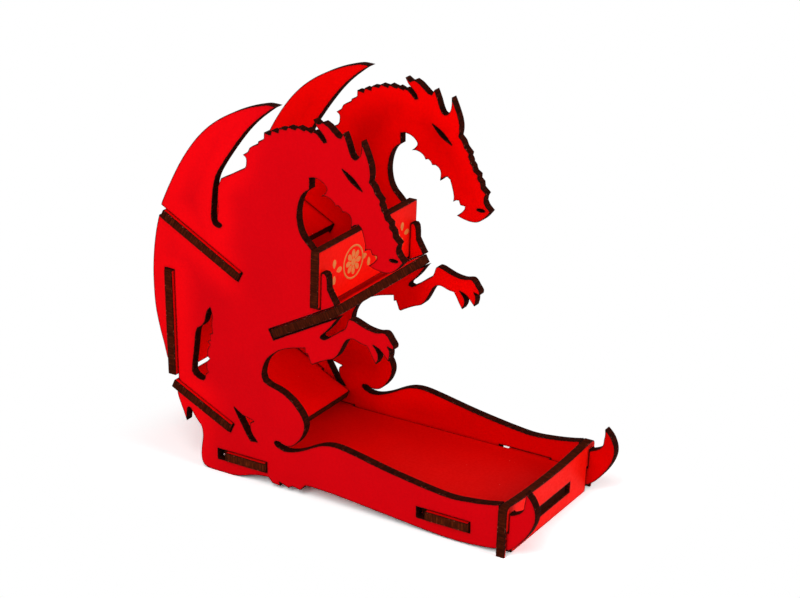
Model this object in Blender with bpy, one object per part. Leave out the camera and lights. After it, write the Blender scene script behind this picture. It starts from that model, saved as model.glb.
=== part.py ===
"""Dice tower whose two sides are cut as a dragon, slotted together from thin painted board.

The frame has +Z up and the dragon looks towards -Y. The origin lies on the table, in the
middle of the tower's length and width. What is dropped in between the two heads slides down
the upper ramp, bounces off the front baffle, slides down the lower ramp and stops in the tray.
"""
from math import cos, pi, radians, sin

import bmesh
import bpy

# Driving dimensions, in metres
shoulder_height = 0.100    # table to the dragon's shoulder; the side's drawing is in shares of it
tower_width = 0.054        # outer face to outer face of the two sides
board = 0.003              # thickness of the sheet that every piece is cut from
slot_gap = 0.0003          # clearance on each side of a board in its slot
ear_reach = 0.001          # how far the ends of a crosswise board stand out of the sides
overrun = 0.003            # how far a cutter runs past what it cuts
forward_lean_share = 0.042  # how far the two front boards lean forwards, as a share of their height

# Upper ramp: slides in from the back and slopes down to the front
upper_ramp_length = 0.0329
upper_ramp_tilt = radians(28.1)
upper_ramp_back_shares = (0.059, 0.871)

# Back wall: stands upright behind the shaft and slides up into slots open at the bottom
back_wall_height = 0.0361
back_wall_foot_shares = (0.052, 0.308)

# Lower ramp: its ears end in the slots, and its middle reaches on down towards the tray floor
lower_ramp_floor_gap = 0.0025
lower_ramp_ear_length = 0.0247
lower_ramp_tilt = radians(25.5)
lower_ramp_back_shares = (0.076, 0.291)

# Front board: drops into open slots between the chest and an upright spur
front_board_height = 0.0187
front_board_foot_shares = (0.611, 0.662)

# Front baffle: slides in from the front, slopes up towards it and ends flush with the sides
baffle_length = 0.0268
baffle_tilt = radians(27.9)
baffle_back_shares = (0.453, 0.548)

# Tray floor: tongues on its edges reach through closed slots and stand out like the ramps' ears
floor_underside = 0.0049
floor_back_share = 0.20
back_tongue_length = 0.0155
front_tongue_length = 0.0152
tongue_play = 0.0035       # how much further back than its tongue a closed slot starts
back_tongue_share = 0.270
front_tongue_share = 1.025
nose_tongue_width = 0.0222
nose_play = 0.0015         # how much further than its tongue the tray front's slot runs on each side
nose_recess = 0.0008       # how far the wide tongue ends behind the tray front's face

# Tray front: crosses the sides in half laps and stands out past them
tray_front_back_share = 1.277
tray_front_height = 0.0170
tray_front_dip = 0.0014    # how far its top edge sinks in the middle
tray_front_reach = 0.0012
tray_front_corner = 0.0018
lap_height = 0.0085        # where side and tray front meet in the lap
curve_steps = 3            # straight pieces between two drawn points of a round stretch
corner_steps = 4
dip_steps = 12

# The side's drawing: (forward, up) in shares of shoulder_height, from the wing's tip round
# the back, the foot, the tray, the leg, the arm, the chest and the head to the wing again.
wing_top_shares = [
    (0.500, 1.2775), (0.476, 1.2785), (0.450, 1.276), (0.390, 1.2575), (0.330, 1.231),
    (0.275, 1.199), (0.225, 1.160), (0.175, 1.107), (0.125, 1.037), (0.080, 0.958), (0.047, 0.892),
]
back_shares = [
    (0.033, 0.843), (0.020, 0.795), (0.008, 0.730), (0.001, 0.660), (0.000, 0.590),
    (0.004, 0.525), (0.016, 0.462), (0.031, 0.405), (0.042, 0.358),
]
back_slot_mouth_shares = [(0.066, 0.346), (0.066, 0.280)]
tail_spur_shares = [(0.077, 0.253), (0.080, 0.232), (0.090, 0.205), (0.101, 0.178), (0.111, 0.150)]
spur_front_shares = [(0.111, 0.150), (0.114, 0.172), (0.115, 0.190), (0.122, 0.201), (0.131, 0.198)]
heel_shares = [
    (0.131, 0.198), (0.144, 0.177), (0.158, 0.160), (0.169, 0.147), (0.174, 0.130),
    (0.174, 0.105), (0.169, 0.075), (0.166, 0.045), (0.169, 0.020), (0.182, 0.005), (0.205, 0.000),
]
sole_shares = [(0.290, 0.000), (0.320, 0.005), (0.350, 0.015), (0.390, 0.026), (0.432, 0.031)]
toe_shares = [
    (0.448, 0.014), (0.479, 0.012), (0.476, 0.025), (0.510, 0.013), (0.526, 0.023),
    (0.557, 0.018), (0.576, 0.039),
]
tray_underside_shares = [
    (0.596, 0.041), (0.680, 0.038), (0.770, 0.031), (0.860, 0.023), (0.950, 0.015),
    (1.040, 0.008), (1.110, 0.005), (1.180, 0.007), (1.250, 0.014),
]
hook_front_shares = [
    (1.316, 0.024), (1.340, 0.043), (1.361, 0.067), (1.382, 0.096), (1.398, 0.128),
    (1.405, 0.158), (1.401, 0.186), (1.388, 0.212), (1.368, 0.232),
]
hook_back_shares = [(1.368, 0.232), (1.369, 0.215), (1.366, 0.196), (1.363, 0.177), (1.354, 0.164),
                    (1.340, 0.154), (1.322, 0.146)]
tray_top_shares = [
    (1.281, 0.169), (1.240, 0.160), (1.180, 0.151), (1.110, 0.1455), (1.040, 0.151),
    (0.960, 0.1615), (0.880, 0.174), (0.800, 0.189), (0.740, 0.200), (0.695, 0.2055),
    (0.655, 0.202), (0.615, 0.187), (0.570, 0.163), (0.530, 0.147), (0.500, 0.142), (0.475, 0.147),
    (0.461, 0.157), (0.464, 0.167), (0.478, 0.168),
]
leg_shares = [
    (0.478, 0.168), (0.505, 0.160), (0.530, 0.167), (0.552, 0.187), (0.569, 0.213),
    (0.578, 0.243), (0.573, 0.270), (0.553, 0.299), (0.523, 0.326), (0.485, 0.346), (0.446, 0.356),
    (0.424, 0.366),
]
belly_shares = [
    (0.418, 0.386), (0.424, 0.415), (0.438, 0.443), (0.462, 0.467), (0.492, 0.488),
    (0.530, 0.503), (0.583, 0.516),
]
elbow_shares = [(0.583, 0.516), (0.584, 0.496), (0.593, 0.499), (0.599, 0.484), (0.604, 0.469),
                (0.611, 0.467), (0.630, 0.478), (0.660, 0.493), (0.690, 0.505)]
forearm_shares = [
    (0.690, 0.505), (0.704, 0.519), (0.717, 0.541), (0.728, 0.562), (0.741, 0.580),
    (0.762, 0.587), (0.790, 0.579), (0.812, 0.576),
]
finger_shares = [
    (0.822, 0.560), (0.831, 0.543), (0.843, 0.5235), (0.852, 0.541), (0.853, 0.557), (0.846, 0.571),
    (0.834, 0.585), (0.857, 0.576), (0.872, 0.561), (0.888, 0.543), (0.893, 0.560), (0.893, 0.578),
    (0.887, 0.591),
]
hand_shares = [
    (0.906, 0.585), (0.907, 0.597), (0.896, 0.613), (0.886, 0.627), (0.873, 0.634),
    (0.845, 0.629), (0.812, 0.633), (0.785, 0.642), (0.762, 0.650), (0.746, 0.648), (0.738, 0.627),
    (0.731, 0.6145), (0.715, 0.603), (0.694, 0.588), (0.672, 0.5715), (0.654, 0.561),
]
armpit_shares = [(0.643, 0.564), (0.646, 0.573), (0.660, 0.586), (0.680, 0.607), (0.698, 0.631),
                 (0.712, 0.649)]
spur_shares = [
    (0.704, 0.676), (0.696, 0.686), (0.684, 0.706), (0.671, 0.729), (0.671, 0.750),
    (0.669, 0.771), (0.662, 0.780), (0.652, 0.780),
]
board_mouth_shares = [(0.634, 0.780), (0.634, 0.850)]
throat_shares = [
    (0.617, 0.845), (0.600, 0.862), (0.583, 0.879), (0.572, 0.899), (0.566, 0.922), (0.564, 0.946),
    (0.567, 0.972), (0.575, 0.999), (0.589, 1.023), (0.612, 1.040),
]
jaw_notch_shares = [(0.612, 1.0755), (0.626, 1.0795)]
jaw_hinge_shares = [(0.626, 1.0795), (0.648, 1.075), (0.665, 1.064), (0.673, 1.051), (0.666, 1.038),
                    (0.652, 1.026)]
jaw_barb_shares = [
    (0.668, 1.028), (0.684, 1.024), (0.697, 1.015), (0.703, 1.004), (0.713, 1.007), (0.722, 1.001),
    (0.728, 0.990), (0.741, 0.992), (0.753, 0.985), (0.759, 0.973), (0.759, 0.959), (0.757, 0.943),
    (0.771, 0.956), (0.784, 0.961), (0.794, 0.954), (0.800, 0.935), (0.806, 0.913), (0.808, 0.898),
    (0.806, 0.8825), (0.817, 0.889), (0.827, 0.890), (0.832, 0.876), (0.849, 0.875), (0.848, 0.866),
    (0.838, 0.854), (0.820, 0.839),
]
lip_shares = [(0.820, 0.839), (0.842, 0.832), (0.870, 0.8275), (0.896, 0.831), (0.920, 0.847),
              (0.942, 0.873)]
snout_shares = [
    (0.925, 0.890), (0.918, 0.904), (0.921, 0.919), (0.927, 0.929), (0.908, 0.946), (0.906, 0.963),
    (0.895, 0.973), (0.896, 0.987), (0.882, 0.996), (0.878, 1.005), (0.877, 1.012), (0.868, 1.022),
    (0.867, 1.030), (0.861, 1.040), (0.864, 1.051), (0.846, 1.070), (0.839, 1.086), (0.825, 1.101),
]
horn_front_shares = [(0.825, 1.101), (0.828, 1.118), (0.828, 1.137), (0.8235, 1.159), (0.813, 1.187),
                     (0.797, 1.223)]
horn_valley_shares = [(0.797, 1.223), (0.797, 1.198), (0.792, 1.178), (0.778, 1.164), (0.765, 1.167),
                      (0.756, 1.184), (0.747, 1.210), (0.735, 1.238)]
crest_shares = [(0.725, 1.220), (0.712, 1.223), (0.682, 1.248), (0.662, 1.258), (0.646, 1.250),
                (0.628, 1.261)]
crest_notch_shares = [(0.628, 1.261), (0.640, 1.241), (0.655, 1.227), (0.669, 1.212), (0.674, 1.199),
                      (0.665, 1.196), (0.652, 1.209), (0.640, 1.220)]
mane_shares = [
    (0.626, 1.224), (0.621, 1.219), (0.601, 1.227), (0.595, 1.221), (0.570, 1.228), (0.563, 1.219),
    (0.536, 1.223), (0.530, 1.213), (0.504, 1.213), (0.500, 1.199), (0.476, 1.202), (0.472, 1.187),
    (0.448, 1.190), (0.447, 1.171), (0.437, 1.163), (0.426, 1.158), (0.424, 1.149), (0.408, 1.142),
    (0.393, 1.132), (0.386, 1.118), (0.367, 1.105),
]
shoulder_shares = [(0.367, 1.105), (0.378, 1.097), (0.379, 1.083), (0.373, 1.065), (0.340, 1.046),
                   (0.305, 1.026), (0.282, 1.014)]
wing_slit_shares = [
    (0.270, 0.985), (0.266, 0.950), (0.266, 0.910), (0.262, 0.884), (0.265, 0.870), (0.279, 0.861),
    (0.273, 0.852), (0.257, 0.852), (0.245, 0.862), (0.241, 0.882), (0.243, 0.910),
    (0.247, 0.945), (0.253, 0.982), (0.264, 1.018), (0.287, 1.057), (0.315, 1.097), (0.348, 1.141),
    (0.383, 1.183), (0.418, 1.218), (0.457, 1.250), (0.484, 1.2695),
]

# Windows in each side, in the same shares
eye_corner_shares = ((0.729, 1.125), (0.799, 1.069))
eye_depth_share = 0.007
nostril_middle_shares = (0.908, 0.873)
nostril_half_shares = (0.0145, 0.0042)
spiked_window_shares = [
    (0.223, 0.572), (0.211, 0.557), (0.205, 0.536), (0.198, 0.515), (0.184, 0.499), (0.170, 0.490),
    (0.163, 0.472), (0.159, 0.446), (0.155, 0.418), (0.150, 0.388), (0.145, 0.358), (0.143, 0.334),
    (0.150, 0.323), (0.168, 0.315), (0.185, 0.313), (0.193, 0.321), (0.195, 0.336), (0.206, 0.345),
    (0.199, 0.357), (0.200, 0.379), (0.213, 0.393), (0.203, 0.402), (0.207, 0.426), (0.217, 0.443),
    (0.207, 0.452), (0.218, 0.460), (0.218, 0.480), (0.228, 0.486), (0.226, 0.510), (0.229, 0.545),
]
bolt_window_shares = [
    (0.305, 0.246), (0.335, 0.228), (0.358, 0.221), (0.380, 0.216), (0.367, 0.207), (0.364, 0.195),
    (0.372, 0.172), (0.392, 0.146), (0.367, 0.144), (0.352, 0.164), (0.338, 0.188), (0.320, 0.218),
]
nostril_steps = 16
eye_steps = 6


def bend(points, steps):
    """Points of a smooth curve through the given ones, which it also holds."""
    ends = [points[0]] + list(points) + [points[-1]]
    curve = []
    for before, start, end, after in zip(ends, ends[1:], ends[2:], ends[3:]):
        for step in range(steps):
            t = step / steps
            curve.append(tuple(
                0.5 * (2 * q + (r - p) * t + (2 * p - 5 * q + 4 * r - s) * t ** 2
                       + (3 * q - p - 3 * r + s) * t ** 3)
                for p, q, r, s in zip(before, start, end, after)))
    return curve + [tuple(points[-1])]


def drawn(*stretches):
    """One closed outline in metres from stretches of shares, without repeated points."""
    outline = []
    for point in [point for stretch in stretches for point in stretch]:
        if not outline or point != outline[-1]:
            outline.append(point)
    return [(forward * shoulder_height, up * shoulder_height) for forward, up in outline]


def round_stretch(shares):
    return bend(shares, curve_steps)


def side_outline():
    return drawn(
        round_stretch(wing_top_shares), round_stretch(back_shares), back_slot_mouth_shares,
        round_stretch(tail_spur_shares), round_stretch(spur_front_shares), round_stretch(heel_shares),
        round_stretch(sole_shares), toe_shares, round_stretch(tray_underside_shares),
        round_stretch(hook_front_shares), round_stretch(hook_back_shares),
        round_stretch(tray_top_shares), round_stretch(leg_shares), round_stretch(belly_shares),
        elbow_shares, round_stretch(forearm_shares), finger_shares, round_stretch(hand_shares),
        round_stretch(armpit_shares), spur_shares, board_mouth_shares, round_stretch(throat_shares),
        jaw_notch_shares, round_stretch(jaw_hinge_shares), jaw_barb_shares,
        round_stretch(lip_shares), snout_shares, round_stretch(horn_front_shares),
        round_stretch(horn_valley_shares), crest_shares, crest_notch_shares, mane_shares,
        round_stretch(shoulder_shares), round_stretch(wing_slit_shares))


def eye_outline():
    """A lens between the eye's two corners, bounded by two arcs of sines."""
    (back, top), (front, low) = eye_corner_shares
    length = ((front - back) ** 2 + (top - low) ** 2) ** 0.5
    across = ((top - low) / length, (front - back) / length)
    lens = []
    for side in (1, -1):
        for step in range(eye_steps):
            t = step / eye_steps if side > 0 else 1 - step / eye_steps
            swell = side * eye_depth_share * sin(pi * t)
            lens.append((back + (front - back) * t + across[0] * swell,
                         top + (low - top) * t + across[1] * swell))
    return drawn(lens)


def nostril_outline():
    middle, half = nostril_middle_shares, nostril_half_shares
    angles = [2 * pi * step / nostril_steps for step in range(nostril_steps)]
    return drawn([(middle[0] + half[0] * cos(a), middle[1] + half[1] * sin(a)) for a in angles])


forwards = [forward for forward, up in side_outline()]
middle_forward = (min(forwards) + max(forwards)) / 2


def world(x, forward, up):
    return (x, middle_forward - forward, up)


def share_point(shares):
    return (shares[0] * shoulder_height, shares[1] * shoulder_height)


def clear_scene():
    for thing in list(bpy.data.objects):
        bpy.data.objects.remove(thing, do_unlink=True)


def material(name, colour, roughness, metallic=0.0):
    made = bpy.data.materials.new(name)
    made.use_nodes = True
    shader = made.node_tree.nodes["Principled BSDF"]
    shader.inputs["Base Color"].default_value = (*colour, 1.0)
    shader.inputs["Roughness"].default_value = roughness
    shader.inputs["Metallic"].default_value = metallic
    return made


def mesh_object(name, mesh, finish=None):
    thing = bpy.data.objects.new(name, mesh)
    bpy.context.scene.collection.objects.link(thing)
    if finish:
        mesh.materials.append(finish)
    return thing


def prism(bm, lower, upper):
    """Closes two like outlines of 3-D points into one solid."""
    ends = [[bm.verts.new(point) for point in outline] for outline in (lower, upper)]
    bm.faces.new(ends[0])
    bm.faces.new(ends[1])
    for index in range(len(lower)):
        after = (index + 1) % len(lower)
        bm.faces.new((ends[0][index], ends[0][after], ends[1][after], ends[1][index]))


def solid(name, prisms):
    """A mesh of one or more prisms, with its faces pointing out."""
    bm = bmesh.new()
    for lower, upper in prisms:
        prism(bm, lower, upper)
    bmesh.ops.recalc_face_normals(bm, faces=bm.faces)
    mesh = bpy.data.meshes.new(name)
    bm.to_mesh(mesh)
    bm.free()
    return mesh


def across(outline, left, right):
    """A prism of a (forward, up) outline from x = left to x = right."""
    return tuple([world(x, forward, up) for forward, up in outline] for x in (left, right))


def leaning(outline, foot):
    """A (forward, up) outline whose points lean forwards by their height above a foot."""
    return [(forward + forward_lean_share * (up - foot), up) for forward, up in outline]


def upright(outline, back, front):
    """A prism of an (x, up) outline between two faces that lean forwards from the table."""
    return tuple([world(x, forward + forward_lean_share * up, up) for x, up in outline]
                 for forward in (back, front))


def flat(outline, low, high):
    """A prism of an (x, forward) outline from one height to another."""
    return tuple([world(x, forward, up) for x, forward in outline] for up in (low, high))


def rectangle(left, right, low, high):
    return [(left, low), (right, low), (right, high), (left, high)]


def tilted(corner, tilt, start, end, low, high):
    """A rectangle whose own forward axis starts at a corner and rises by tilt."""
    return [(corner[0] + cos(tilt) * along - sin(tilt) * above,
             corner[1] + sin(tilt) * along + cos(tilt) * above)
            for along, above in rectangle(start, end, low, high)]


def cutter(name, prisms):
    thing = mesh_object(name, solid(name, prisms))
    thing.hide_render = True
    thing.display_type = "WIRE"
    return thing


def cut(target, tool):
    change = target.modifiers.new(tool.name, "BOOLEAN")
    change.operation = "DIFFERENCE"
    change.solver = "EXACT"
    change.object = tool


half_width = tower_width / 2
inner_half = half_width - board - slot_gap
ear_half = half_width + ear_reach
cut_half = half_width + overrun


def crosswise_board(name, finish, outline, reach=ear_half):
    """A plain board that reaches as far to the left as to the right."""
    return mesh_object(name, solid(name, [across(outline, -reach, reach)]), finish)


def slot(name, outline):
    """A cutter for a board's slot, through both sides."""
    return cutter(name, [across(outline, -cut_half, cut_half)])


def make_upper_ramp(finish):
    corner = share_point(upper_ramp_back_shares)
    crosswise_board("upper_ramp", finish,
                    tilted(corner, -upper_ramp_tilt, 0, upper_ramp_length, -board, 0))
    return slot("cut_upper_ramp", tilted(corner, -upper_ramp_tilt, -overrun,
                                         upper_ramp_length + slot_gap, -board - slot_gap, slot_gap))


def make_back_wall(finish):
    back, foot = share_point(back_wall_foot_shares)
    crosswise_board("back_wall", finish,
                    rectangle(back, back + board, foot, foot + back_wall_height))
    return slot("cut_back_wall", rectangle(back - slot_gap, back + board + slot_gap,
                                           foot - overrun, foot + back_wall_height + slot_gap))


def make_lower_ramp(finish):
    """The ears stop with the slots, and the middle runs on between the sides to just over the floor."""
    corner = share_point(lower_ramp_back_shares)
    turn = -lower_ramp_tilt
    drop = corner[1] - board * cos(turn) - floor_top - lower_ramp_floor_gap
    length = drop / sin(lower_ramp_tilt)
    ears = tilted(corner, turn, 0, lower_ramp_ear_length, -board, 0)
    ramp = mesh_object("lower_ramp", solid("lower_ramp", [across(ears, -ear_half, ear_half)]), finish)
    tongue = tilted(corner, turn, lower_ramp_ear_length / 2, length, -board, 0)
    middle = cutter("add_lower_ramp_middle", [across(tongue, -inner_half, inner_half)])
    join = ramp.modifiers.new("middle", "BOOLEAN")
    join.operation = "UNION"
    join.solver = "EXACT"
    join.object = middle
    return slot("cut_lower_ramp", tilted(corner, turn, -overrun, lower_ramp_ear_length + slot_gap,
                                         -board - slot_gap, slot_gap))


def make_front_board(finish):
    back, foot = share_point(front_board_foot_shares)
    crosswise_board("front_board", finish,
                    leaning(rectangle(back, back + board, foot, foot + front_board_height), foot))
    mouth = max(foot + front_board_height, share_point(board_mouth_shares[-1])[1])
    return slot("cut_front_board", leaning(rectangle(
        back - slot_gap, back + board + slot_gap, foot - slot_gap, mouth + overrun), foot))


def make_front_baffle(finish):
    corner = share_point(baffle_back_shares)
    crosswise_board("front_baffle", finish, tilted(corner, baffle_tilt, 0, baffle_length, -board, 0),
                    reach=half_width)
    return slot("cut_front_baffle", tilted(corner, baffle_tilt, -slot_gap, baffle_length + overrun,
                                           -board - slot_gap, slot_gap))


floor_top = floor_underside + board
floor_back = floor_back_share * shoulder_height
back_tongue = back_tongue_share * shoulder_height
front_tongue = front_tongue_share * shoulder_height
tray_front_back = tray_front_back_share * shoulder_height
tray_front_face = tray_front_back + board
floor_front = tray_front_back + forward_lean_share * floor_underside - slot_gap
nose_front = tray_front_face + forward_lean_share * floor_underside - nose_recess


def make_tray_floor(finish):
    """A plate with two tongues on each long edge and a wide one at the front."""
    tongues = ((back_tongue, back_tongue_length), (front_tongue, front_tongue_length))
    edge = [(inner_half, floor_back)]
    for start, length in tongues:
        edge += [(inner_half, start), (ear_half, start),
                 (ear_half, start + length), (inner_half, start + length)]
    nose = nose_tongue_width / 2
    edge += [(inner_half, floor_front), (nose, floor_front), (nose, nose_front)]
    outline = edge + [(-x, forward) for x, forward in reversed(edge)]
    mesh_object("tray_floor", solid("tray_floor", [flat(outline, floor_underside, floor_top)]), finish)
    slots = [across(rectangle(start - tongue_play, start + length + slot_gap,
                              floor_underside - slot_gap, floor_top + slot_gap),
                    -cut_half, cut_half) for start, length in tongues]
    return cutter("cut_tray_floor", slots)


def make_tray_front(finish):
    """An upright plate with rounded upper corners and a top edge that sinks in the middle."""
    end = half_width + tray_front_reach
    corner_middle = (end - tray_front_corner, tray_front_height - tray_front_corner)
    corner = [(corner_middle[0] + tray_front_corner * cos(pi / 2 * step / corner_steps),
               corner_middle[1] + tray_front_corner * sin(pi / 2 * step / corner_steps))
              for step in range(corner_steps + 1)]
    reach = corner_middle[0]
    top = [(reach * cos(pi * step / dip_steps),
            tray_front_height - tray_front_dip * sin(pi * step / dip_steps) ** 2)
           for step in range(1, dip_steps)]
    outline = [(-end, 0), (end, 0)] + corner + top + [(-x, up) for x, up in reversed(corner)]
    plate = mesh_object("tray_front",
                        solid("tray_front", [upright(outline, tray_front_back, tray_front_face)]), finish)
    lap_low, lap_high = -overrun, lap_height + slot_gap / 2
    behind, before = tray_front_back - overrun, tray_front_face + overrun
    laps = [upright(rectangle(side - slot_gap, side + board + slot_gap, lap_low, lap_high), behind, before)
            for side in (-half_width, half_width - board)]
    nose = nose_tongue_width / 2 + nose_play
    laps.append(upright(rectangle(-nose, nose, floor_underside - slot_gap, floor_top + slot_gap),
                        behind, before))
    cut(plate, cutter("cut_tray_front_laps", laps))
    return slot("cut_side_laps", leaning(rectangle(
        tray_front_back - slot_gap, tray_front_face + slot_gap,
        lap_height - slot_gap / 2, tray_front_height + overrun), 0))


def make_sides(finish, slots):
    windows = cutter("cut_windows", [across(outline, -cut_half, cut_half) for outline in (
        eye_outline(), nostril_outline(), drawn(spiked_window_shares), drawn(bolt_window_shares))])
    outline = side_outline()
    for name, left in (("right_side", -half_width), ("left_side", half_width - board)):
        side = mesh_object(name, solid(name, [across(outline, left, left + board)]), finish)
        for tool in [windows] + slots:
            cut(side, tool)


clear_scene()
red_sides = material("red painted board, sides", (0.62, 0.004, 0.012), 0.45)
red_ramps = material("red painted board, ramps", (0.60, 0.003, 0.006), 0.45)
red_front = material("red painted board, front pieces", (0.75, 0.010, 0.012), 0.42)
red_floor = material("red painted board, tray", (0.50, 0.003, 0.005), 0.5)
make_sides(red_sides, [
    make_upper_ramp(red_ramps), make_back_wall(red_ramps), make_lower_ramp(red_ramps),
    make_front_board(red_front), make_front_baffle(red_front), make_tray_floor(red_floor),
    make_tray_front(red_front)])
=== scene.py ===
"""Looks of a dice tower whose two sides are cut as a dragon, slotted together from board."""
import math

import bmesh
import bpy
import numpy as np
from mathutils import Matrix, Vector
from mathutils.bvhtree import BVHTree
from mathutils.geometry import delaunay_2d_cdt


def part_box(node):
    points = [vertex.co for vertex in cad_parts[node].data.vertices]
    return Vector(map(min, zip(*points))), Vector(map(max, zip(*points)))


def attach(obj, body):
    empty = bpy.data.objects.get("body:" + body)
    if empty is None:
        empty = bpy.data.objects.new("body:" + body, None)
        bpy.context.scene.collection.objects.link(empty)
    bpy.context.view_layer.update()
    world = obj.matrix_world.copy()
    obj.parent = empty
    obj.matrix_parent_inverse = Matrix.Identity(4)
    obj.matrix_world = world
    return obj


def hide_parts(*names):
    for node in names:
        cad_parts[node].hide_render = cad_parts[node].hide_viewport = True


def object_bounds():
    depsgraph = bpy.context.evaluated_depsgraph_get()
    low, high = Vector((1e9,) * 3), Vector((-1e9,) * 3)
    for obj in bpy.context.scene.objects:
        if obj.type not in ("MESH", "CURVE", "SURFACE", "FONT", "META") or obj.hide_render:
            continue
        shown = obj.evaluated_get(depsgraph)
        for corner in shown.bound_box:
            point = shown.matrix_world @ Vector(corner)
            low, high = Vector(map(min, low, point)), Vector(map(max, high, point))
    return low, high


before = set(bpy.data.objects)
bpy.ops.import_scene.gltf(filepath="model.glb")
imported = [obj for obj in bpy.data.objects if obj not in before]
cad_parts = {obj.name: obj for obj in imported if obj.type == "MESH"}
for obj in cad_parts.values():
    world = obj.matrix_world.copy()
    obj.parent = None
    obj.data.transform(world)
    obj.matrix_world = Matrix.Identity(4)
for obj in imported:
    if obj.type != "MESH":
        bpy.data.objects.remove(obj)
cad_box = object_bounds()

# The two sides: one drawing of a dragon, cut twice by laser from 3 mm fibreboard that was sprayed
# red on both faces first. They carry every other board in slots, and the laser leaves their
# cut edges burnt dark brown, with a thin line of char along the paint.
MM = 0.001
body = "root"

rim_radius = 0.12 * MM             # how far the laser has softened the arris between face and edge
rim_rows = (0.036 * MM, 0.12 * MM, 0.28 * MM, 0.55 * MM, 1.1 * MM)
fine_step = 0.45 * MM              # spacing of points along a curved cut
plain_step = 1.2 * MM              # spacing of points along a straight cut
grid_step = 4 * MM                 # spacing of points in the middle of a face
row_step = 0.16 * MM               # points of one row that lie closer than this become one
straight_length = 3.6 * MM         # a cut longer than this that ends at a bend is a straight one
corner_turn = math.radians(28)     # a cut that turns by more than this has a sharp corner
bend_turn = math.radians(4)        # and by more than this, a bend
flat_turn = math.radians(0.3)      # a point where it turns by less than this isn't needed
same_point = 0.001 * MM            # corners of the solid's triangles this close together are one
same_plane = 0.01 * MM
same_way = 0.9999                  # cosine between the normals of faces that look the same way
lies_flat = 0.9                    # a board whose normal rises by more than this is a floor
past_middle = 1.5 * MM             # what lies deeper than this belongs to the board's other face
way_spacing = 5                    # the way through the board is taken at every fifth point
shortest_chord = 0.001 * MM
points_at_once = 1000              # keeps the counting of cuts within a little memory
turned_back = 0.1                  # guards a division where a cut turns right back
kept_row = 0.97                    # a row's point nearer to a cut than this share is left out
grid_margin = 1.5                  # the grid starts this many times further in than the last row
drawing_tolerance = 1e-6           # in millimetres
smallest_face = 1e-16              # in square metres


def turns(points):
    """The angle by which a closed outline turns at each of its points."""
    before = points - np.roll(points, 1, axis=0)
    after = np.roll(points, -1, axis=0) - points
    cross = before[:, 0] * after[:, 1] - before[:, 1] * after[:, 0]
    return np.arctan2(cross, (before * after).sum(axis=1))


def read_drawing(node):
    """A board's plane, the way through it, and its outlines with the board on their left."""
    bm = bmesh.new()
    bm.from_mesh(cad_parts[node].data)
    bmesh.ops.remove_doubles(bm, verts=bm.verts, dist=same_point)
    bm.normal_update()
    areas = {}
    for face in bm.faces:
        key = tuple(round(value, 2) for value in face.normal)
        areas[key] = areas.get(key, 0.0) + face.calc_area()
    largest = max(areas, key=lambda key: (round(areas[key] / MM ** 2), key))
    normal = next(face.normal.copy() for face in bm.faces
                  if tuple(round(value, 2) for value in face.normal) == largest)
    front = [face for face in bm.faces if face.normal.dot(normal) > same_way]
    depth = max(face.verts[0].co.dot(normal) for face in front)
    front = {face for face in front if depth - face.verts[0].co.dot(normal) < same_plane}
    after = {}
    for face in front:
        for loop in face.loops:
            if not any(other in front for other in loop.edge.link_faces if other != face):
                after[loop.vert] = loop.link_loop_next.vert
    up = Vector((0, 0, 1)) if abs(normal.z) < lies_flat else Vector((0, -1, 0))
    right = up.cross(normal).normalized()
    up = normal.cross(right)
    back = [vert.co for vert in bm.verts if depth - vert.co.dot(normal) > past_middle]
    ways = []
    outlines = []
    while after:
        vert, following = next(iter(after.items()))
        outline = []
        while vert in after:
            outline.append(vert.co.copy())
            vert = after.pop(vert)
        for point in outline[::way_spacing]:
            straight = min(back, key=lambda other: (other - point).cross(normal).length)
            ways.append(straight - point)
        flat = np.array([(point.dot(right), point.dot(up)) for point in outline])
        outlines.append(flat[abs(turns(flat)) > flat_turn])
    ways.sort(key=lambda way: way.cross(normal).length)
    through = ways[len(ways) // 2]
    bm.free()
    return {"origin": normal * depth, "right": right, "up": up, "through": through,
            "outlines": outlines}


def curve_between(p, q, r, s, count):
    """Points on a centripetal curve from q, which it holds, to r, which it leaves out."""
    knots = np.cumsum([0.0] + [max(np.linalg.norm(b - a), shortest_chord) ** 0.5
                               for a, b in ((p, q), (q, r), (r, s))])
    found = []
    for step in range(count):
        t = knots[1] + (knots[2] - knots[1]) * step / count
        a1 = ((knots[1] - t) * p + (t - knots[0]) * q) / (knots[1] - knots[0])
        a2 = ((knots[2] - t) * q + (t - knots[1]) * r) / (knots[2] - knots[1])
        a3 = ((knots[3] - t) * r + (t - knots[2]) * s) / (knots[3] - knots[2])
        b1 = ((knots[2] - t) * a1 + (t - knots[0]) * a2) / (knots[2] - knots[0])
        b2 = ((knots[3] - t) * a2 + (t - knots[1]) * a3) / (knots[3] - knots[1])
        found.append(((knots[2] - t) * b1 + (t - knots[1]) * b2) / (knots[2] - knots[1]))
    return found


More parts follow.
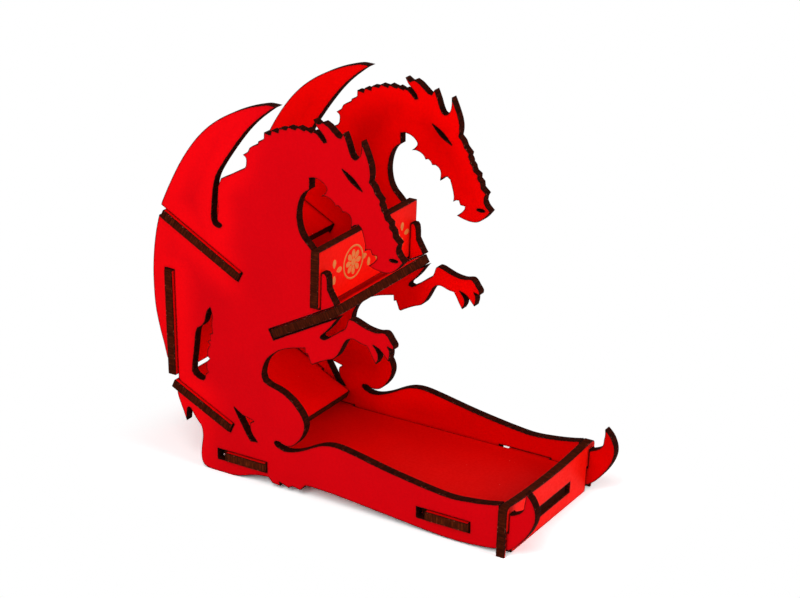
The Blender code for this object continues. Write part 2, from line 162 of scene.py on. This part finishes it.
def eased(outline):
    """The outline with its round stretches smooth, and whether each point is a sharp corner."""
    bends = abs(turns(outline))
    lengths = np.linalg.norm(np.roll(outline, -1, axis=0) - outline, axis=1)
    sharp = bends > corner_turn
    ends = np.maximum(bends, np.roll(bends, -1))
    straight = (lengths > straight_length) & (ends > bend_turn)
    count = len(outline)
    points, corners = [], []
    for i in range(count):
        q, r = outline[i], outline[(i + 1) % count]
        corners.append(sharp[i])
        if straight[i]:
            steps = max(1, math.ceil(lengths[i] / plain_step))
            points += [q + (r - q) * step / steps for step in range(steps)]
        else:
            steps = max(1, math.ceil(lengths[i] / fine_step))
            p, s = outline[i - 1], outline[(i + 2) % count]
            if sharp[i]:
                p = q - (r - q)
            elif straight[i - 1]:
                p = q + (p - q) * lengths[i] / lengths[i - 1]
            if sharp[(i + 1) % count]:
                s = r + (r - q)
            elif straight[(i + 1) % count]:
                s = r + (s - r) * lengths[i] / lengths[(i + 1) % count]
            points += curve_between(p, q, r, s, steps)
        corners += [False] * (steps - 1)
    points = np.clip(np.array(points), outline.min(axis=0), outline.max(axis=0))
    return points, np.array(corners)


def cut_walls(starts, ends):
    """The cuts as low walls across the plane of the drawing, ready for a search of the nearest."""
    count = len(starts)
    corners = [(x, y, z) for z in (-MM, MM) for points in (starts, ends) for x, y in points]
    return BVHTree.FromPolygons(corners, [(i, count + i, 3 * count + i, 2 * count + i)
                                          for i in range(count)])


def distances(points, walls):
    """How far each point is from the nearest cut."""
    return np.array([walls.find_nearest((x, y, 0.0))[3] for x, y in points])


def inside(points, starts, ends):
    """Whether each point lies on the board, by counting the cuts to its right."""
    found = np.empty(len(points), bool)
    for first in range(0, len(points), points_at_once):
        last = first + points_at_once
        x, y = (points[first:last, None, axis] for axis in (0, 1))
        spans = (starts[:, 1] > y) != (ends[:, 1] > y)
        rise = np.where(spans, ends[:, 1] - starts[:, 1], 1.0)
        crossing = starts[:, 0] + (y - starts[:, 1]) / rise * (ends[:, 0] - starts[:, 0])
        found[first:last] = (spans & (x < crossing)).sum(axis=1) % 2 == 1
    return found


def face_points(outlines, starts, ends, walls):
    """Points on the board's face: rows along each cut and a loose grid in the middle."""
    found = []
    for row in rim_rows:
        near = []
        for points, corners in outlines:
            before = points - np.roll(points, 1, axis=0)
            after = np.roll(points, -1, axis=0) - points
            left = [np.stack([-way[:, 1], way[:, 0]], axis=1) for way in (before, after)]
            left = [way / np.linalg.norm(way, axis=1)[:, None] for way in left]
            middle = left[0] + left[1]
            middle /= np.maximum(np.linalg.norm(middle, axis=1), turned_back)[:, None]
            near += [points + row * middle]
            near += [points[corners] + row * way[corners] for way in left]
        near = np.concatenate(near)
        kept = np.unique(np.round(near / row_step), axis=0, return_index=True)[1]
        near = near[kept]
        near = near[inside(near, starts, ends)]
        found.append(near[distances(near, walls) > kept_row * row])
    low, high = starts.min(axis=0), starts.max(axis=0)
    across, upward = (np.arange(low[axis], high[axis], grid_step) for axis in (0, 1))
    grid = np.stack(np.meshgrid(across, upward), axis=-1)
    grid[::2, :, 0] += grid_step / 2
    grid = grid.reshape(-1, 2)
    grid = grid[inside(grid, starts, ends)]
    found.append(grid[distances(grid, walls) > grid_margin * rim_rows[-1]])
    return np.concatenate(found)


def make_board(name, node, finishes):
    """A laser-cut board in the place of a CAD node, finished with (front, back, cut edge)."""
    drawing = read_drawing(node)
    outlines = [eased(outline) for outline in drawing["outlines"]]
    starts = np.concatenate([points for points, corners in outlines])
    ends = np.concatenate([np.roll(points, -1, axis=0) for points, corners in outlines])
    following = []
    for points, corners in outlines:
        first = len(following)
        following += [first + (index + 1) % len(points) for index in range(len(points))]
    sharp = np.concatenate([corners for points, corners in outlines])
    cut = cut_walls(starts, ends)
    points = np.concatenate([starts, face_points(outlines, starts, ends, cut)]) / MM
    cuts = [(index, after) for index, after in enumerate(following)]
    flat, _, faces, sources, _, _ = delaunay_2d_cdt(
        [Vector(point) for point in points], cuts, [], 0, drawing_tolerance)
    flat = np.array([tuple(point) for point in flat]) * MM
    place = {source: index for index, group in enumerate(sources) for source in group}
    faces = np.array([face for face in faces if len(face) == 3])
    a, b, c = (flat[faces[:, corner]] for corner in range(3))
    area = (b[:, 0] - a[:, 0]) * (c[:, 1] - a[:, 1]) - (b[:, 1] - a[:, 1]) * (c[:, 0] - a[:, 0])
    faces[area < 0] = faces[area < 0][:, ::-1]
    faces = faces[(abs(area) > smallest_face) & inside((a + b + c) / 3, starts, ends)]

    rim = distances(flat, cut)
    rim[[place[index] for index in range(len(starts))]] = 0.0
    outer = max((points for points, corners in outlines), key=lambda points: np.ptp(points))
    border = distances(flat, cut_walls(outer, np.roll(outer, -1, axis=0)))
    short = np.clip(rim_radius - rim, 0, None)
    drop = rim_radius - np.sqrt(rim_radius ** 2 - short ** 2)
    thickness = drawing["through"].length
    into = np.array(drawing["through"]) / thickness
    base = (np.array(drawing["origin"]) + np.outer(flat[:, 0], drawing["right"])
            + np.outer(flat[:, 1], drawing["up"]))
    verts = np.concatenate([base + np.outer(drop, into), base + np.outer(thickness - drop, into)])
    count = len(flat)
    steps = np.linalg.norm(ends - starts, axis=1)
    walls, wall_places = [], []
    travelled = 0.0
    for index, after in enumerate(following):
        p, q = place[index], place[after]
        walls.append((p, p + count, q + count, q))
        start, end = travelled, travelled + steps[index]
        wall_places += [(start, 0.0), (start, thickness), (end, thickness), (end, 0.0)]
        travelled = end

    mesh = bpy.data.meshes.new(name)
    mesh.from_pydata(verts.tolist(), [], faces.tolist() + (faces[:, ::-1] + count).tolist() + walls)
    kinds = [0] * len(faces) + [1] * len(faces) + [2] * len(walls)
    mesh.polygons.foreach_set("material_index", kinds)
    flat_places = np.concatenate([flat[faces.ravel()], flat[faces[:, ::-1].ravel()]])
    places = np.concatenate([flat_places, np.array(wall_places)]) / MM
    mesh.uv_layers.new(name="board_mm").data.foreach_set("uv", places.ravel())
    for label, depths in (("rim", rim), ("border", border)):
        kept = mesh.attributes.new(label, "FLOAT", "POINT")
        kept.data.foreach_set("value", np.concatenate([depths, depths]))
    mesh.shade_smooth()
    hard = {(place[index], place[index] + count) for index in np.flatnonzero(sharp)}
    for edge in mesh.edges:
        if tuple(sorted(edge.vertices)) in hard:
            edge.use_edge_sharp = True
    for finish in finishes:
        mesh.materials.append(finish)
    mesh.validate()
    piece = bpy.data.objects.new(name, mesh)
    bpy.context.scene.collection.objects.link(piece)
    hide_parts(node)
    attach(piece, body)
    return piece


def colour(code):
    """A linear colour from its sRGB hex code."""
    values = [int(code[start:start + 2], 16) / 255 for start in (1, 3, 5)]
    linear = [value / 12.92 if value <= 0.04045 else ((value + 0.055) / 1.055) ** 2.4
              for value in values]
    return (*linear, 1.0)


def add(tree, kind, inputs=None, **settings):
    """Adds a node: its settings by name, and its inputs as values or as sockets to link."""
    node = tree.nodes.new(kind)
    for name, value in settings.items():
        setattr(node, name, value)
    for name, value in (inputs or {}).items():
        if isinstance(value, bpy.types.NodeSocket):
            tree.links.new(value, node.inputs[name])
        else:
            node.inputs[name].default_value = value
    return node


def new_material(name):
    """A new material and its empty tree."""
    made = bpy.data.materials.new(name)
    made.use_nodes = True
    made.node_tree.nodes.clear()
    return made, made.node_tree


cloud_size = 16 * MM               # uneven passes of the spray can
mottle_size = 0.9 * MM             # patches of duller and shinier paint
peel_size = 0.35 * MM              # the droplets that the paint dried from
peel_height = 0.02 * MM
painted_light_until = 1.5 * MM            # from the outline inwards the painted light is at its strongest to here
painted_light_gone_from = 11 * MM                # and is gone from here, leaving the deep colour
nib_spacing = 3.2 * MM
nib_size = 0.055                   # radius of the largest nib as a share of their spacing
bare_share = 0.86                  # share of the places for a nib that have none
scorch_lumps = 0.7 * MM
scorch_play = 0.08 * MM            # how far the border of the scorch wanders to either side
charred_until = 0.15 * MM          # from a cut inwards the paint is all char to here
char_reach = 0.32 * MM
brown_reach = 1.0 * MM


def sprayed_board(name, deep, bright, gloss, lift=0.0, start=0.0, end=MM):
    """Satin acrylic paint sprayed on fibreboard: an even, deep red with hardly any shine, a faint
    peel from the spray, a few pale nibs of dust, and scorched along every cut. Along the outline
    a painted light turns it brighter where Y plus lift times Z is past start and end."""
    made, tree = new_material(name)
    place = add(tree, "ShaderNodeTexCoord").outputs["Object"]
    clouds, mottle, peel, ragged = (
        add(tree, "ShaderNodeTexNoise", {
            "Vector": place, "Scale": 1 / size, "Detail": detail}).outputs["Fac"]
        for size, detail in ((cloud_size, 2.0), (mottle_size, 3.0), (peel_size, 2.0),
                             (scorch_lumps, 3.0)))
    border, rim = (add(tree, "ShaderNodeAttribute", attribute_name=label).outputs["Fac"]
                   for label in ("border", "rim"))

    axes = add(tree, "ShaderNodeSeparateXYZ", {"Vector": place}).outputs
    raised = add(tree, "ShaderNodeMath", {0: axes["Z"], 1: lift}, operation="MULTIPLY")
    along = add(tree, "ShaderNodeMath", {0: axes["Y"], 1: raised.outputs[0]})
    painted_light_share = add(tree, "ShaderNodeMapRange", {
        "Value": along.outputs[0], "From Min": start, "From Max": end},
        interpolation_type="SMOOTHSTEP").outputs["Result"]
    dust = add(tree, "ShaderNodeTexVoronoi", {"Vector": place, "Scale": 1 / nib_spacing}).outputs
    chosen = add(tree, "ShaderNodeSeparateColor", {"Color": dust["Color"]}).outputs["Red"]
    radius = add(tree, "ShaderNodeMapRange", {
        "Value": chosen, "From Min": bare_share, "To Max": nib_size},
        interpolation_type="SMOOTHSTEP").outputs["Result"]
    nib = add(tree, "ShaderNodeMath", {0: radius, 1: dust["Distance"]},
              operation="GREATER_THAN").outputs[0]
    wander = add(tree, "ShaderNodeMapRange", {
        "Value": ragged, "From Min": 0.2, "From Max": 0.8, "To Min": scorch_play,
        "To Max": -scorch_play}, interpolation_type="SMOOTHSTEP").outputs["Result"]
    reach = add(tree, "ShaderNodeMath", {0: rim, 1: wander}).outputs[0]

    # Each layer has what it follows, where that begins and ends, its share there, and its colour.
    paint = colour(deep)
    for guide, first, last, first_share, last_share, tint in (
            # painted light, not paint: near the outline the red is brightened towards the bright
            # tint
            (border, painted_light_until, painted_light_gone_from, painted_light_share, 0.0, bright),
            (clouds, 0.35, 0.65, 0.0, 0.05, "#5A0408"),
            (mottle, 0.3, 0.75, 0.0, 0.07, "#5A0408"),
            (nib, 0.0, 1.0, 0.0, 0.55, "#F09A8C"),
            (reach, charred_until, brown_reach, 0.22, 0.0, "#4A0606"),
            (reach, charred_until, char_reach, 1.0, 0.0, "#1C0A07")):
        share = add(tree, "ShaderNodeMapRange", {
            "Value": guide, "From Min": first, "From Max": last, "To Min": first_share,
            "To Max": last_share}, interpolation_type="SMOOTHSTEP")
        paint = add(tree, "ShaderNodeMix", {
            "Factor": share.outputs["Result"], "A": paint, "B": colour(tint)},
            data_type="RGBA").outputs["Result"]

    satin = add(tree, "ShaderNodeMapRange", {
        "Value": mottle, "From Min": 0.3, "From Max": 0.7, "To Min": 0.42, "To Max": 0.56},
        interpolation_type="SMOOTHSTEP")
    bump = add(tree, "ShaderNodeBump", {"Strength": 0.25, "Distance": peel_height, "Height": peel})
    shader = add(tree, "ShaderNodeBsdfPrincipled", {
        "Base Color": paint, "Roughness": satin.outputs["Result"],
        "Specular IOR Level": gloss, "Normal": bump.outputs["Normal"]})
    add(tree, "ShaderNodeOutputMaterial", {"Surface": shader.outputs["BSDF"]})
    return made


streak_stretch = 0.12              # the streaks run almost straight through the board
streak_depth = 0.05 * MM
soot_size = 1.3 * MM
fleck_size = 0.8 * MM
painted_shade_fade = 2 * MM                 # how far the painted shade in front takes to fade
clear_of_tower = -1.0              # a Y in front of the whole tower, so no painted shade falls anywhere


def burnt_edge(name, dark, brown, light, streak, painted_shade_front=clear_of_tower):
    """The edge that a laser leaves on fibreboard: matt dark brown, with darker and paler streaks
    straight through the board, darkest next to both faces, where a few flecks of paint have
    chipped off the arris and show pale; painted shade turns it almost black in front of a given Y."""
    made, tree = new_material(name)
    place = add(tree, "ShaderNodeUVMap", uv_map="board_mm").outputs["UV"]
    stretched = add(tree, "ShaderNodeMapping", {
        "Vector": place, "Scale": (1.0, streak_stretch, 1.0)}).outputs["Vector"]
    streaks, soot, flecks = (
        add(tree, "ShaderNodeTexNoise", {
            "Vector": where, "Scale": MM / size, "Detail": detail,
            "Roughness": rough}).outputs["Fac"]
        for where, size, detail, rough in (
            (stretched, streak, 3.0, 0.6), (place, soot_size, 3.0, 0.6),
            (place, fleck_size, 2.0, 0.5)))

    depth = add(tree, "ShaderNodeSeparateXYZ", {"Vector": place}).outputs["Y"]
    middle = thickness_of_board / MM / 2
    off_middle = add(tree, "ShaderNodeMath", {0: depth, 1: middle}, operation="SUBTRACT")
    from_middle = add(tree, "ShaderNodeMath", {0: off_middle.outputs[0]},
                      operation="ABSOLUTE").outputs[0]
    by_arris = add(tree, "ShaderNodeMapRange", {
        "Value": from_middle, "From Min": middle * 0.80, "From Max": middle * 0.90, "To Max": 0.6},
        interpolation_type="SMOOTHSTEP").outputs["Result"]
    object_place = add(tree, "ShaderNodeTexCoord").outputs["Object"]
    forward = add(tree, "ShaderNodeSeparateXYZ", {"Vector": object_place}).outputs["Y"]

    tone = colour(dark)
    for guide, first, last, first_share, last_share, tint in (
            (streaks, 0.34, 0.60, 0.0, 1.0, brown),
            (streaks, 0.56, 0.74, 0.0, 1.0, light),
            (soot, 0.45, 0.75, 0.0, 0.6, dark),
            (from_middle, middle * 0.55, middle, 0.0, 0.5, dark),
            (flecks, 0.60, 0.68, 0.0, by_arris, "#B4604C"),
            # painted shade: the edge turns almost black in front of the given Y
            (forward, painted_shade_front - painted_shade_fade, painted_shade_front, 0.8, 0.0, "#1A0402")):
        share = add(tree, "ShaderNodeMapRange", {
            "Value": guide, "From Min": first, "From Max": last, "To Min": first_share,
            "To Max": last_share}, interpolation_type="SMOOTHSTEP")
        tone = add(tree, "ShaderNodeMix", {
            "Factor": share.outputs["Result"], "A": tone, "B": colour(tint)},
            data_type="RGBA").outputs["Result"]

    bump = add(tree, "ShaderNodeBump", {
        "Strength": 0.4, "Distance": streak_depth, "Height": streaks})
    shader = add(tree, "ShaderNodeBsdfPrincipled", {
        "Base Color": tone, "Roughness": 0.85, "Specular IOR Level": 0.015,
        "Normal": bump.outputs["Normal"]})
    add(tree, "ShaderNodeOutputMaterial", {"Surface": shader.outputs["BSDF"]})
    return made


thickness_of_board = read_drawing("right_side")["through"].length
# Both reds brighten along the outline as painted light: outer faces to the back, inner faces up.
crimson = sprayed_board("crimson spray paint, outer faces", "#D9010D", "#F6030D", 0.015,
                        lift=0.2, start=44 * MM, end=60 * MM)
scarlet = sprayed_board("scarlet spray paint, inner faces", "#DC0000", "#FE0100", 0.02,
                        lift=1.3, start=0.0, end=30 * MM)
side_edge = burnt_edge("laser-burnt edge of the sides", "#1C0603", "#360D05", "#481608", 0.45 * MM)
for node in ("right_side", "left_side"):
    front_is_outside = (read_drawing(node)["through"].x > 0) == (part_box(node)[0].x < 0)
    faces = (crimson, scarlet) if front_is_outside else (scarlet, crimson)
    make_board(node + "_board", node, (*faces, side_edge))

# The tray floor: a flat board with two tongues on each long edge and one at the front, pushed
# into closed slots of the sides and the tray front. Its tongue ends are paler than other edges.
# Painted shade turns its edges almost black in front of Y -50 mm, round the front tongue.
tongue_edge = burnt_edge("laser-burnt edge of the tray floor", "#321005", "#541C0A", "#743012",
                         0.55 * MM, painted_shade_front=-50 * MM)
floor_red = sprayed_board("deep red spray paint, tray floor", "#E20402", "#E20402", 0.02)
make_board("tray_floor_board", "tray_floor", (floor_red, floor_red, tongue_edge))

# The tray front: an upright board that crosses both sides in half laps and keeps what has been
# rolled in the tray. Its paint is a brighter red, and the top edge sinks a little in the middle.
bright_red = sprayed_board("bright red spray paint, front boards", "#FA1206", "#FA1206", 0.03)
dark_edge = burnt_edge("laser-burnt edge of the crosswise boards", "#2C0C04", "#481608", "#5E220C",
                       0.5 * MM)
make_board("tray_front_board", "tray_front", (bright_red, bright_red, dark_edge))

# The lower ramp, the back wall and the upper ramp: plain boards behind and inside the tower.
# The ramps slide in from the back and slope, and the wall stands upright between them.
ramp_red = sprayed_board("scarlet spray paint, ramps", "#FA0202", "#FA0202", 0.015)
for node in ("lower_ramp", "back_wall", "upper_ramp"):
    make_board(node + "_board", node, (ramp_red, ramp_red, dark_edge))

# The front baffle: a plain board that slides in from the front below the heads and slopes up
# towards it. What falls off the upper ramp bounces off it.
make_board("front_baffle_board", "front_baffle", (bright_red, bright_red, dark_edge))

# The front board: a plain board that drops into open slots in front of the chest, above the
# baffle. Gold ink is printed on its front face, thick enough to feel: two rosettes of petals
# round a disc, each in a plain ring, with small crosses of leaves beside them.
make_board("front_board_board", "front_board", (bright_red, bright_red, dark_edge))

print_sizes = {
    "Petals": 8,
    "Leaves": 4,
    "Petal Length": 2.9 * MM,
    "Petal Width": 1.9 * MM,
    "Disc Radius": 1.25 * MM,
    "Ring Radius": 5.3 * MM,
    "Ring Width": 0.65 * MM,
    "Relief": 0.1 * MM,            # half of it is sunk in the board's paint
    "Rosette Spacing": 17.6 * MM,
    "Cross Spacing": 19.4 * MM,
}
root_width = 0.62                  # width of a petal's root as a share of its middle
wear_size = 0.8 * MM               # patches where the ink is thin and the red shows through

gold_ink, tree = new_material("gold screen-printing ink")
place = add(tree, "ShaderNodeTexCoord").outputs["Object"]
worn = add(tree, "ShaderNodeTexNoise", {"Vector": place, "Scale": 1 / wear_size, "Detail": 3.0})
thin = add(tree, "ShaderNodeMapRange", {
    "Value": worn.outputs["Fac"], "From Min": 0.45, "From Max": 0.75, "To Max": 0.45})
tone = add(tree, "ShaderNodeMix", {"Factor": thin.outputs["Result"], "A": colour("#DE7C38"),
                                   "B": colour("#C83C18")}, data_type="RGBA")
shader = add(tree, "ShaderNodeBsdfPrincipled", {
    "Base Color": tone.outputs["Result"], "Roughness": 0.45, "Specular IOR Level": 0.2})
add(tree, "ShaderNodeOutputMaterial", {"Surface": shader.outputs["BSDF"]})

tree = bpy.data.node_groups.new("gold rosettes", "GeometryNodeTree")
keys = {}
for name, size in print_sizes.items():
    kind = "NodeSocketInt" if isinstance(size, int) else "NodeSocketFloat"
    keys[name] = tree.interface.new_socket(name, in_out="INPUT", socket_type=kind).identifier
tree.interface.new_socket("Print", in_out="OUTPUT", socket_type="NodeSocketGeometry")
given = add(tree, "NodeGroupInput").outputs

round_blank = add(tree, "GeometryNodeMeshCylinder", {"Vertices": 16, "Radius": 0.5, "Depth": 1.0})
axes = add(tree, "ShaderNodeSeparateXYZ", {
    "Vector": add(tree, "GeometryNodeInputPosition").outputs["Position"]}).outputs
narrowed = add(tree, "ShaderNodeMapRange", {
    "Value": axes["Y"], "From Min": -0.5, "From Max": 0.0, "To Min": root_width, "To Max": 1.0})
across = add(tree, "ShaderNodeMath", {0: axes["X"], 1: narrowed.outputs["Result"]},
             operation="MULTIPLY")
shaped = add(tree, "GeometryNodeSetPosition", {
    "Geometry": round_blank.outputs["Mesh"],
    "Position": add(tree, "ShaderNodeCombineXYZ", {
        "X": across.outputs[0], "Y": axes["Y"], "Z": axes["Z"]}).outputs[0]})
half_length = add(tree, "ShaderNodeMath", {0: given["Petal Length"], 1: 0.5}, operation="MULTIPLY")
reach = add(tree, "ShaderNodeMath", {0: half_length.outputs[0], 1: given["Disc Radius"]})
petal = add(tree, "GeometryNodeTransform", {
    "Geometry": shaped.outputs["Geometry"],
    "Translation": add(tree, "ShaderNodeCombineXYZ", {"Y": reach.outputs[0]}).outputs[0],
    "Scale": add(tree, "ShaderNodeCombineXYZ", {
        "X": given["Petal Width"], "Y": given["Petal Length"], "Z": given["Relief"]}).outputs[0]})
wheels = []
for count in ("Petals", "Leaves"):
    part = add(tree, "ShaderNodeMath", {0: math.tau, 1: given[count]}, operation="DIVIDE")
    turn = add(tree, "ShaderNodeMath", {
        0: add(tree, "GeometryNodeInputIndex").outputs[0], 1: part.outputs[0]},
        operation="MULTIPLY")
    turned = add(tree, "FunctionNodeEulerToRotation", {
        "Euler": add(tree, "ShaderNodeCombineXYZ", {"Z": turn.outputs[0]}).outputs[0]})
    wheels.append(add(tree, "GeometryNodeInstanceOnPoints", {
        "Points": add(tree, "GeometryNodePoints", {"Count": given[count]}).outputs[0],
        "Instance": petal.outputs["Geometry"], "Rotation": turned.outputs[0]}))
disc = add(tree, "GeometryNodeMeshCylinder", {
    "Vertices": 24, "Radius": given["Disc Radius"], "Depth": given["Relief"]})
hoop = add(tree, "GeometryNodeCurveToMesh", {
    "Curve": add(tree, "GeometryNodeCurvePrimitiveCircle", {
        "Resolution": 64, "Radius": given["Ring Radius"]}).outputs["Curve"],
    "Profile Curve": add(tree, "GeometryNodeCurvePrimitiveQuadrilateral", {
        "Width": given["Ring Width"], "Height": given["Ring Width"]}).outputs["Curve"]})
flatter = add(tree, "ShaderNodeMath", {0: given["Relief"], 1: given["Ring Width"]},
              operation="DIVIDE")
ring = add(tree, "GeometryNodeTransform", {
    "Geometry": hoop.outputs["Mesh"],
    "Scale": add(tree, "ShaderNodeCombineXYZ", {
        "X": 1.0, "Y": 1.0, "Z": flatter.outputs[0]}).outputs[0]})
rosette = add(tree, "GeometryNodeJoinGeometry")
for shape in (wheels[0].outputs["Instances"], disc.outputs["Mesh"], ring.outputs["Geometry"]):
    tree.links.new(shape, rosette.inputs[0])
band = add(tree, "GeometryNodeJoinGeometry")
for shape, spacing, count in ((rosette.outputs[0], "Rosette Spacing", 2),
                              (wheels[1].outputs["Instances"], "Cross Spacing", 3)):
    first = add(tree, "ShaderNodeMath", {0: given[spacing], 1: (1 - count) / 2},
                operation="MULTIPLY")
    row = add(tree, "GeometryNodeMeshLine", {
        "Count": count,
        "Start Location": add(tree, "ShaderNodeCombineXYZ", {"X": first.outputs[0]}).outputs[0],
        "Offset": add(tree, "ShaderNodeCombineXYZ", {"X": given[spacing]}).outputs[0]})
    placed = add(tree, "GeometryNodeInstanceOnPoints", {
        "Points": row.outputs["Mesh"], "Instance": shape})
    tree.links.new(placed.outputs["Instances"], band.inputs[0])
solid = add(tree, "GeometryNodeRealizeInstances", {"Geometry": band.outputs[0]})
inked = add(tree, "GeometryNodeSetMaterial", {
    "Geometry": solid.outputs["Geometry"], "Material": gold_ink})
add(tree, "NodeGroupOutput", {0: inked.outputs["Geometry"]})

print_piece = bpy.data.objects.new("front_print", bpy.data.meshes.new("front_print"))
bpy.context.scene.collection.objects.link(print_piece)
maker = print_piece.modifiers.new("rosettes", "NODES")
maker.node_group = tree
for name, size in print_sizes.items():
    maker[keys[name]] = size
graph = bpy.context.evaluated_depsgraph_get()
print_mesh = bpy.data.meshes.new_from_object(print_piece.evaluated_get(graph), depsgraph=graph)
print_piece.modifiers.remove(maker)
print_piece.data = print_mesh
plain = read_drawing("front_board")
outward = plain["right"].cross(plain["up"])
on_face = plain["origin"]
if outward.y > 0:
    outward, on_face = -outward, plain["origin"] + plain["through"]
upward = plain["up"]
sideways = upward.cross(outward)
low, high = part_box("front_board")
centre = Vector(((low.x + high.x) / 2, 0.0, (low.z + high.z) / 2))
centre.y = (on_face.dot(outward) - centre.x * outward.x - centre.z * outward.z) / outward.y
place_of_print = Matrix((sideways, upward, outward)).transposed().to_4x4()
place_of_print.translation = centre
print_mesh.transform(place_of_print)
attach(print_piece, body)

# The table: a white sheet under soft light from all round. It is seen as brighter than white, so
# only the tower's shadow right beside what it stands on shows, and further off it is pure white.
table_half = 4.0                   # in metres, far past what any view takes in
seen_white = 1.75                  # how much light the sheet seems to send back to the eye
fade_start = 4 * MM                # how far beside the tower's box the sheet begins to turn white
fade_end = 28 * MM
table_mesh = bpy.data.meshes.new("table")
table_mesh.from_pydata([(x * table_half, y * table_half, 0.0) for x, y in
                        ((-1, -1), (1, -1), (1, 1), (-1, 1))], [], [(0, 1, 2, 3)])
table = bpy.data.objects.new("table", table_mesh)
bpy.context.scene.collection.objects.link(table)
paper, tree = new_material("matt white paper")
rays = add(tree, "ShaderNodeLightPath").outputs
seen = rays["Is Camera Ray"]
for ray in ("Is Glossy Ray", "Is Transmission Ray"):
    seen = add(tree, "ShaderNodeMath", {0: seen, 1: rays[ray]}, operation="MAXIMUM").outputs[0]
white = add(tree, "ShaderNodeMix", {
    "Factor": seen, "A": colour("#E8E8E8"), "B": (seen_white, seen_white, seen_white, 1.0)},
    data_type="RGBA")
matt = add(tree, "ShaderNodeBsdfDiffuse", {"Color": white.outputs["Result"]})
bare = add(tree, "ShaderNodeEmission", {"Strength": 1.0})
beside = add(tree, "ShaderNodeTexCoord").outputs["Object"]
for operation, other in (("ABSOLUTE", (0, 0, 0)), ("SUBTRACT", cad_box[1]),
                         ("MAXIMUM", (0, 0, 0))):
    beside = add(tree, "ShaderNodeVectorMath", {0: beside, 1: other},
                 operation=operation).outputs[0]
away = add(tree, "ShaderNodeVectorMath", {0: beside}, operation="LENGTH")
fade = add(tree, "ShaderNodeMapRange", {
    "Value": away.outputs["Value"], "From Min": fade_start, "From Max": fade_end},
    interpolation_type="SMOOTHSTEP")
faded = add(tree, "ShaderNodeMath", {0: seen, 1: fade.outputs["Result"]}, operation="MULTIPLY")
sheet = add(tree, "ShaderNodeMixShader", {
    0: faded.outputs[0], 1: matt.outputs[0], 2: bare.outputs[0]})
add(tree, "ShaderNodeOutputMaterial", {"Surface": sheet.outputs[0]})
table_mesh.materials.append(paper)

# The lamps: a white room, two soft lamps on the right-hand side, one of them high, and two in
# front for what looks forwards.
room_light = 0.16                  # what the white room sends to the tower, where 1 is white
world = bpy.data.worlds.new("white room")
bpy.context.scene.world = world
world.use_nodes = True
tree = world.node_tree
tree.nodes.clear()
rays = add(tree, "ShaderNodeLightPath").outputs
seen = rays["Is Camera Ray"]
for ray in ("Is Glossy Ray", "Is Transmission Ray"):
    seen = add(tree, "ShaderNodeMath", {0: seen, 1: rays[ray]}, operation="MAXIMUM").outputs[0]
strength = add(tree, "ShaderNodeMapRange", {"Value": seen, "To Min": room_light, "To Max": 1.0})
room = add(tree, "ShaderNodeBackground", {
    "Color": (1.0, 1.0, 1.0, 1.0), "Strength": strength.outputs["Result"]})
add(tree, "ShaderNodeOutputWorld", {"Surface": room.outputs[0]})


lamp_width = 0.4                   # in metres, wide enough for soft shadows
middle_of_tower = Vector((0, 0, (cad_box[0].z + cad_box[1].z) / 2))


def soft_lamp(name, place, power):
    """A round lamp at a place in metres that looks at the tower, with its power in watts."""
    light = bpy.data.lights.new(name, "AREA")
    light.shape = "DISK"
    light.size = lamp_width
    light.energy = power
    lamp = bpy.data.objects.new(name, light)
    lamp.location = place
    lamp.rotation_euler = (middle_of_tower - Vector(place)).to_track_quat("-Z", "Y").to_euler()
    bpy.context.scene.collection.objects.link(lamp)


soft_lamp("lamp_right", (-0.55, 0.0, 0.30), 1.6)
soft_lamp("lamp_right_high", (-0.40, 0.0, 0.60), 1.4)
soft_lamp("lamp_front", (0.0, -0.70, 0.30), 2.3)
soft_lamp("lamp_front_left", (0.45, -0.55, 0.35), 1.7)

# The camera: at the height of a person who stands at the table, half in front of the tower and
# half at its right side.
camera_azimuth = math.radians(-57.77)
camera_elevation = math.radians(22.41)
camera_distance = 0.6875
camera_aim = Vector((0.0017, -0.0047, 0.0617))
focal_share = 2.7478               # focal length as a share of the picture's width
camera_data = bpy.data.cameras.new("camera")
camera_data.sensor_width = 36
camera_data.lens = focal_share * camera_data.sensor_width
camera = bpy.data.objects.new("camera", camera_data)
bpy.context.scene.collection.objects.link(camera)
towards_camera = Vector((math.sin(camera_azimuth) * math.cos(camera_elevation),
                         -math.cos(camera_azimuth) * math.cos(camera_elevation),
                         math.sin(camera_elevation)))
camera.location = camera_aim + camera_distance * towards_camera
camera.rotation_euler = (-towards_camera).to_track_quat("-Z", "Y").to_euler()
bpy.context.scene.camera = camera
bpy.context.scene.view_settings.view_transform = "Standard"
